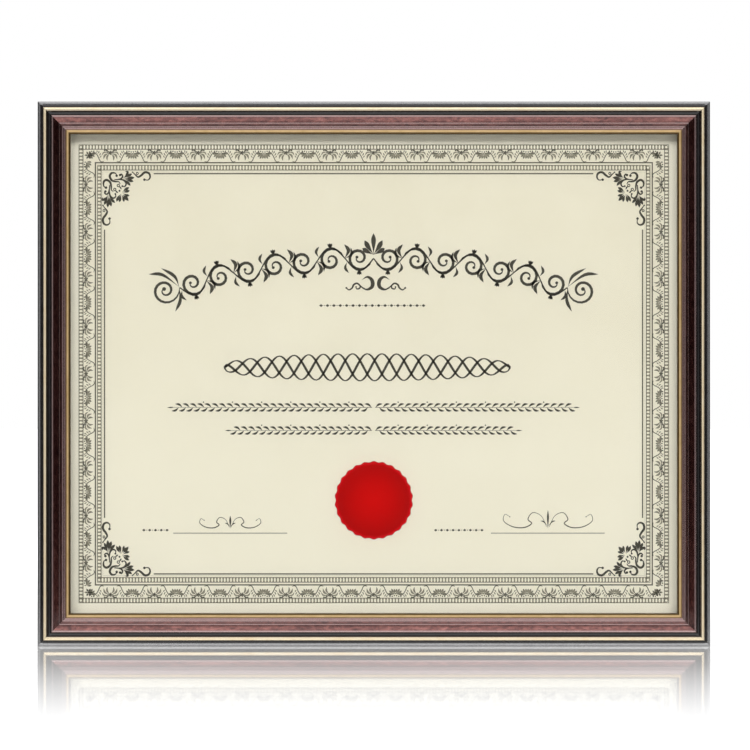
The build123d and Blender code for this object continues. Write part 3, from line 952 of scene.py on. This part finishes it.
def flourish(pen, half_length, rise):
    """A thin line that loops out to both sides of an upright leaf."""
    for half in pen.halves():
        shares = (0.03 + 0.1j, 0.14 + 0.75j, 0.32 + 0.95j, 0.42 + 0.55j, 0.34 + 0.3j, 0.5 + 0.05j,
                  0.74 + 0.1j, 0.93 + 0.45j, 0.9 + 0.85j, 0.8 + 0.7j)
        half.swash([complex(p.real * half_length, p.imag * rise) for p in shares], 0.14, 0.42)
        half.leaf([0.1 * rise * 1j, 0.25 * rise * (1 + 1.6j), 0.45 * rise * (1 + 1j)], 0.5, 1.3)
    pen.leaf([0j, 0.6j * rise, 1.1j * rise], 0.8, 1.2)


# The ornaments in the sheet's open middle. Heights are from the sheet's middle
title_height = 46.0
title_radius = 262.0
title_bays = 7
title_bay = 11.2
title_line = 0.26
divider_size = 1.29
laurel_leaf = 2.8
laurel_pitch = 2.9
writing_height = -63.5
writing_width = 0.26
label_height = -62.3
label_pitch = 2.3
label_size = 0.66
signing_height = -61.6


def ornaments(pen):
    """Plain ornaments in place of the lettering, and two rules to write on."""
    title = pen.through(arch(title_height, title_radius))
    running_scroll(title, title_bays, title_bay, title_line, 0.78)
    for half in title.halves():
        end_scroll(half.at(title_bays * title_bay), 6.6, title_line, 1.1)
    palmette(pen.at(47.5j), 8.5, 1.9)
    divider(pen.at(0.9 + 35.9j).through(lambda p: divider_size * p))
    lozenges(pen.at(-0.5 + 27.2j), 20.4, 2.55, 0.75)
    braid(pen.at(-2.5 + 2.6j), half_length=57.0, half_height=5.4, eyes=13, strands=3, width=0.95)
    for drop, half_length in ((-13.4j, 80.0), (-22.6j, 57.0)):
        laurel(pen.at(drop), half_length, laurel_leaf, laurel_pitch)
    for left, right in ((-79.8, -34.4), (46.8, 92.1)):
        pen.stroke([complex(left, writing_height), complex(right, writing_height)], [writing_width] * 2)
    for across, half_length in ((-86.9, 4.6), (34.0, 9.2)):
        lozenges(pen.at(complex(across, label_height)), half_length, label_pitch, label_size)
    for across, half_length, rise in ((-57.1, 13.0, 4.6), (69.5, 19.0, 6.6)):
        flourish(pen.at(complex(across, signing_height)), half_length, rise)


def printed():
    """The print as four pieces that ride with the sheet."""
    inks = [ink("printing_ink", 1.0), ink("worn_ink", 2.0), ink("pale_ink", 4.6)]
    drawings = {"border": border, "garland": garland, "ornaments": ornaments, "corners": corner_ornaments}
    for name, draw in drawings.items():
        shape = Shape()
        draw(Pen(shape).at(print_shift))
        made(f"printed_{name}", shape.mesh(name), inks, "frame")


# The seal
seal_lobes = 26
seal_lobe_depth = 0.5
seal_disc_share = 0.915
points_per_lobe = 8


def seal():
    """A scalloped wafer: a low domed disc inside a rim that is pleated with the scallops."""
    low, high = box("seal")
    centre = (low + high) / 2
    radius = (high.z - low.z) / 2
    thick = high.y - low.y
    count = seal_lobes * points_per_lobe
    edge = seal_disc_share

    def ring(share, up, lobed):
        """A ring at a share of the radius, up from the sheet by a share of the thickness."""
        points = []
        for step in range(count):
            turn = tau * step / count
            wave = (cos(seal_lobes * turn) - 1) / 2
            reach = share * radius + lobed * seal_lobe_depth * wave
            points.append(centre + Vector((reach * sin(turn), thick / 2 - up * thick, reach * cos(turn))))
        return points

    steps = [(1.0, 0.0, 1), (1.0, 0.42, 1), (0.992, 0.52, 1), (0.975, 0.6, 0.8), (edge + 0.02, 0.5, 0.3),
             (edge + 0.006, 0.52, 0), (edge, 0.68, 0), (edge - 0.01, 0.82, 0), (edge - 0.03, 0.87, 0),
             (0.7, 0.92, 0), (0.4, 0.96, 0), (0.12, 0.98, 0), (0.02, 0.98, 0)]
    shape = Shape()
    shape.loft([ring(*step) for step in steps])
    piece = made("seal_wafer", shape.mesh("seal"), [seal_paper()], "frame", ["seal"], crease=50)
    attribute(piece, "crest", [share for share, up, lobed in steps for step in range(count)])


# The pan head screws, with their cross recess
recess_width = 0.85
recess_reach = 1.5
recess_depth = 0.95
shank_radius = 1.35
shank_end = -2.0
head_height = 1.5
head_rounding = 0.7
head_chamfer = (0.15, 0.12)
first_turn = 23
further_turn = 31

# The rivets' heads
rivet_radius = 2.0
rivet_rise = 0.7
rivet_crown = 0.35
rivet_edge = 0.06
rivet_chamfer = 0.08
rivet_shank = 1.1
rivet_shank_length = 1.2

# Turned solids close at this radius, and their rounded edges are drawn through these turns
tip_radius = 0.02
quarter = [pi / 2 * step / 8 for step in range(9)]


def tapered_bar(half, width, deep, start):
    """A bar across a screw's head that narrows as it goes in, for cutting its recess."""
    shape = Shape()
    shape.loft([[Vector((x * (half - taper), start - depth, z * (width / 2 - taper / 3))) for x, z in square]
                for depth, taper in ((-deep, -0.1), (deep, 0.45))])
    return shape


def screw_mesh(head_radius, under):
    """A pan head on Y with a cross recess, and a short shank under it."""
    shape = Shape()
    top = under + head_height
    profile = [(shank_radius, shank_end), (shank_radius, under), (head_radius - head_chamfer[0], under),
               (head_radius, under + head_chamfer[1])]
    profile += [(head_radius - head_rounding * (1 - cos(a)), top - head_rounding * (1 - sin(a)))
                for a in quarter]
    profile += [(head_radius * 0.4, top), (tip_radius, top)]
    turned(shape, profile, Matrix())
    bars = [tapered_bar(recess_reach, recess_width, recess_depth, top) for side in range(2)]
    bars[1].points = [Vector((point.z, point.y, point.x)) for point in bars[1].points]
    return less(shape, bars)


def copies(mesh, places, name):
    """One mesh, in metres, at many places given in millimetres."""
    work = bmesh.new()
    for place in places:
        one = mesh.copy()
        one.transform(Matrix.Translation(place.to_translation() * mm) @ place.to_3x3().to_4x4())
        work.from_mesh(one)
        bpy.data.meshes.remove(one)
    result = bpy.data.meshes.new(name)
    work.to_mesh(result)
    work.free()
    return result


def screws(zinc):
    """The six screws, each with its recess turned its own way."""
    low, high = box("turn_button_screws")
    pivots = [place for body, place in joint_at.items() if body.startswith("button")]
    mesh = screw_mesh(high.z - max(place.z for place in pivots), high.y - back - head_height)
    places = [Matrix.Translation(place) @ Matrix.Rotation(radians(first_turn + further_turn * i), 4, "Y")
              for i, place in enumerate(pivots)]
    made("button_screw_heads", copies(mesh, places, "screws"), [zinc], "frame",
         ["turn_button_screws"], crease=28)


def rivets(name, node, body, base, finish):
    """A node's domed rivet heads, standing on a base behind the back, each with its shank."""
    foot, rise = base + rivet_edge, rivet_rise - rivet_edge
    profile = [(rivet_shank, base - rivet_shank_length), (rivet_shank, base),
               (rivet_radius - rivet_chamfer, base), (rivet_radius, foot)]
    profile += [(rivet_crown + (rivet_radius - rivet_crown) * cos(a), foot + rise * sin(a))
                for a in quarter[1:]]
    profile.append((tip_radius, base + rivet_rise))
    shape = Shape()
    for x, z in rivet_places(node):
        turned(shape, profile, Matrix.Translation((x, back, z)), 32)
    made(name, shape.mesh(name), [finish], body, [node])


def rivet_places(node):
    """The middles of a pair of rivets, from the ends of their node's box."""
    low, high = box(node)
    if high.z - low.z > 3 * rivet_radius:
        return [(high.x - rivet_radius, high.z - rivet_radius), (low.x + rivet_radius, low.z + rivet_radius)]
    z = (low.z + high.z) / 2
    return [(low.x + rivet_radius, z), (high.x - rivet_radius, z)]


# The wire triangles, by their middle line
wire_radius = 0.8
ring_base = 18.0
ring_height = 14.0
ring_corner = 2.0
ring_tilt = 5.1636


def rounded(corner_points, radius, steps=8):
    """A closed line through corners, each rounded by an arc."""
    line = []
    count = len(corner_points)
    for i, corner in enumerate(corner_points):
        to_last = corner_points[i - 1] - corner
        to_next = corner_points[(i + 1) % count] - corner
        to_last, to_next = to_last / abs(to_last), to_next / abs(to_next)
        half = abs(cmath.phase(to_next / to_last)) / 2
        middle_way = (to_last + to_next) / abs(to_last + to_next)
        centre = corner + middle_way * radius / sin(half)
        start = corner + to_last * radius * cos(half) / sin(half) - centre
        sweep = cmath.phase((corner + to_next * radius * cos(half) / sin(half) - centre) / start)
        line += [centre + start * cmath.exp(1j * sweep * step / steps) for step in range(steps + 1)]
    return line


def wire_ring(place, hang, finish):
    """A triangle of round wire that hangs from its joint, leaning out from the back."""
    body, name = f"ring_{place}", f"hanger_ring_{place}"
    outwards = Vector((0, 1, 0))
    line = rounded([-ring_base / 2 + 0j, ring_base / 2 + 0j, 1j * ring_height], ring_corner)
    lean = radians(ring_tilt)
    down = hang * cos(lean) + outwards * sin(lean)
    level = outwards.cross(hang)
    normal = level.cross(down)
    start = joint_at[body]
    count = len(line)
    rings = []
    for i, point in enumerate(line):
        run = line[(i + 1) % count] - line[i - 1]
        side = 1j * run / abs(run)
        side = level * side.real + down * side.imag
        rings.append([start + level * point.real + down * point.imag + side * p.real + normal * p.imag
                      for p in circle(wire_radius, 16)])
    shape = Shape()
    shape.loft(rings, looped=True)
    made(f"{name}_wire", shape.mesh(name), [finish], body, [name])


# How far sharp edges are rounded off, and what counts as sharp
sharp_angle = 35
leg_rounding = 0.35
leaf_rounding = 0.12
pin_rounding = 0.15
button_rounding = 0.14
strap_rounding = 0.1

# What rivets stand on behind the back: a hinge leaf, or a strap folded double
leaf_thickness = 0.8
folded_strap_thickness = 1.0


def softened(name, node, body, finish, width):
    """A piece of a node's own shape whose sharp edges are rounded off by width."""
    work = bmesh.new()
    work.from_mesh(frame["nodes"][node].data)
    bmesh.ops.remove_doubles(work, verts=work.verts, dist=0.002 * mm)
    bmesh.ops.dissolve_limit(work, angle_limit=radians(1), verts=work.verts, edges=work.edges)
    sharp = [edge for edge in work.edges
             if len(edge.link_faces) == 2 and edge.calc_face_angle() > radians(sharp_angle)]
    bmesh.ops.bevel(work, geom=sharp, offset=width * mm, segments=3, profile=0.5, affect="EDGES",
                    clamp_overlap=True)
    mesh = bpy.data.meshes.new(name)
    work.to_mesh(mesh)
    work.free()
    made(name, mesh, [finish], body, [node])


def painted(node, finish):
    """A node that stays as it is, with a finish."""
    for slot in frame["nodes"][node].material_slots:
        slot.material = finish.material


def hardware():
    """The board, the easel, the turn buttons and the hangers."""
    black = board("black_grained_board", (0.007, 0.007, 0.008), (0.042, 0.041, 0.043), 0.09)
    leg_black = board("black_grained_leg", (0.009, 0.009, 0.010), (0.050, 0.049, 0.051), 0.09)
    zinc = metal("zinc_plate", (0.66, 0.67, 0.68), (0.42, 0.42, 0.43), 0.26)
    steel = metal("rolled_steel", (0.50, 0.50, 0.51), (0.26, 0.25, 0.25), 0.34)
    bright = metal("bright_rivet", (0.62, 0.61, 0.60), (0.34, 0.33, 0.32), 0.22)
    brass = metal("brass_plate", (0.80, 0.61, 0.30), (0.50, 0.34, 0.13), 0.24)
    painted("backing_board", black)
    painted("filler_board", board("grey_board", (0.34, 0.32, 0.29), (0.50, 0.48, 0.44), 0.03))
    painted("corner_v_nails", steel)
    softened("easel_leg_board", "easel_leg", "leg", leg_black, leg_rounding)
    softened("hinge_leaf_on_board", "hinge_board_leaf", "frame", zinc, leaf_rounding)
    softened("hinge_leaf_on_leg", "hinge_leg_leaf", "leg", zinc, leaf_rounding)
    softened("hinge_pin_peened", "hinge_pin", "frame", steel, pin_rounding)
    for place in ("top_left", "top_right", "bottom_left", "bottom_right", "left", "right"):
        body = f"button_{place}"
        softened(f"{body}_plate", f"turn_{body}", body, zinc, button_rounding)
    screws(zinc)
    rivets("board_leaf_rivet_heads", "hinge_board_rivets", "frame", leaf_thickness, bright)
    rivets("leg_rivet_heads", "hinge_leg_rivets", "leg", box("easel_leg")[1].y - back, bright)
    rivets("hanger_rivet_heads", "hanger_rivets", "frame", folded_strap_thickness, brass)
    for place, hang in (("top", Vector((0, 0, -1))), ("side", Vector((1, 0, 0)))):
        strap = f"hanger_strap_{place}"
        softened(f"{strap}_fold", strap, "frame", brass, strap_rounding)
        wire_ring(place, hang, brass)


# The camera stands level with the frame and square to it
picture_width = 298.11
picture_centre = Vector((0.465, -6.5, 107.77))
camera_distance = 3000.0
sensor_width = 36.0


def camera():
    """A long lens, so that the frame is seen nearly without perspective."""
    data = bpy.data.cameras.new("camera")
    data.sensor_width = sensor_width
    data.lens = sensor_width * camera_distance / picture_width
    data.clip_start, data.clip_end = 0.1, 50
    eye = bpy.data.objects.new("camera", data)
    eye.location = (picture_centre - Vector((0, camera_distance, 0))) * mm
    eye.rotation_euler = (radians(90), 0, 0)
    scene.collection.objects.link(eye)
    scene.camera = eye


def lamp(name, width, depth, place, aim, watts):
    """A softbox that lights without being seen, itself or mirrored."""
    data = bpy.data.lights.new(name, "AREA")
    data.shape, data.size, data.size_y, data.energy = "RECTANGLE", width, depth, watts
    light = bpy.data.objects.new(name, data)
    light.location = place
    light.rotation_euler = (Vector(aim) - Vector(place)).to_track_quat("-Z", "Y").to_euler()
    light.visible_camera = light.visible_glossy = False
    scene.collection.objects.link(light)


# How bright the room is in a mirror: level with the eye and higher up, with dark flags at both sides.
# Each pair is where a change starts and ends, as the sine of a way's angle up, across or behind
room_level = 0.3
room_rise = 1.2
rise_edge = (0.1, 0.45)
overhead_edge = (0.75, 0.97)
behind_edge = (0.3, 0.8)
flag_edge = (0.36, 0.6)
flag_depth = 0.975
ambient = 0.45


def beside_flags(across):
    """What the flags leave of the light, by how far across it comes from."""
    return 1 - across.within(*flag_edge) * flag_depth


def studio():
    """A wide soft light above and in front, and a bright room with dark flags at both sides and overhead."""
    centre = (0, 0, middle * mm)
    lamp("key", 8.5, 1.45, (0, -4.42, 2.56), centre, watts=262)
    lamp("rear", 1.6, 0.8, (0, 1.5, 1.5), centre, watts=20)
    world = bpy.data.worlds.new("studio")
    scene.world = world
    world.use_nodes = True
    nodes = Nodes(world.node_tree)
    way = nodes.node("ShaderNodeTexCoord", output="Generated")
    across, behind, up = nodes.parts(way)
    across, up = across.size(), up.size()
    room = room_level + up.within(*rise_edge) * room_rise - up.within(*overhead_edge)
    room = (room * beside_flags(across)).larger(behind.within(*behind_edge))
    seen, mirrored, passed = nodes.rays("Camera", "Glossy", "Transmission")
    level = seen + passed + mirrored * room + (1 - seen - passed - mirrored) * ambient
    background = world.node_tree.nodes["Background"]
    nodes.feed(background.inputs["Strength"], level)
    nodes.feed(background.inputs["Color"], white)


# How much the table mirrors at the frame's foot, how far out it does, and how white it glows to the eye.
# Distances are from the middle of the frame's foot, and each pair is where a change starts and ends
table_half = 12.0
table_mirror = 0.76
table_reach = 1000.0
mirror_fall = 1.3
near_glow = 0.34
far_glow = 0.85
glow_edge = (500, 2500)
mirrored_glow = 0.6
near_edge = (200, 450)
dusk_level = 0.35


def table():
    """A white glossy table that mirrors the frame near its foot, and less further out."""
    mesh = bpy.data.meshes.new("table")
    mesh.from_pydata([(x * table_half, y * table_half, 0) for x, y in square], [], [range(4)])
    floor = bpy.data.objects.new("table", mesh)
    scene.collection.objects.link(floor)
    finish = Finish("white_table", {"Base Color": (0.8,) * 3, "Roughness": 0.6, "Specular IOR Level": 0.0})
    mesh.materials.append(finish.material)
    seen, mirrored = finish.rays("Camera", "Glossy")
    across = finish.parts(finish.place)[0].size()
    distance = finish.node("ShaderNodeVectorMath", {"operation": "LENGTH"}, {0: finish.place}, "Value")
    near = 1 - distance.within(*near_edge)
    level = near_glow + distance.within(*glow_edge) * (far_glow - near_glow)
    level = seen * level + mirrored * near * mirrored_glow
    glow = finish.node("ShaderNodeEmission", None, {"Strength": level})
    body = finish.node("ShaderNodeAddShader", None, {0: Value(finish, finish.shader.outputs[0]), 1: glow})
    level = dusk_level * beside_flags(across / distance)
    dusk = finish.node("ShaderNodeEmission", None, {"Strength": level})
    body = finish.node("ShaderNodeMixShader", None, {0: mirrored * (1 - near), 1: body, 2: dusk})
    mirror = finish.node("ShaderNodeBsdfAnisotropic", None, {"Color": white, "Roughness": 0.02})
    share = (1 - distance.within(0, table_reach)) ** mirror_fall * table_mirror
    mixed = finish.node("ShaderNodeMixShader", None, {0: share, 1: body, 2: mirror})
    finish.feed(finish.tree.nodes["Material Output"].inputs["Surface"], mixed)


camera()
rails()
painted("glass", clear_glass())
painted("certificate", paper())
printed()
seal()
hardware()
studio()
table()
scene.view_settings.view_transform = "Standard"
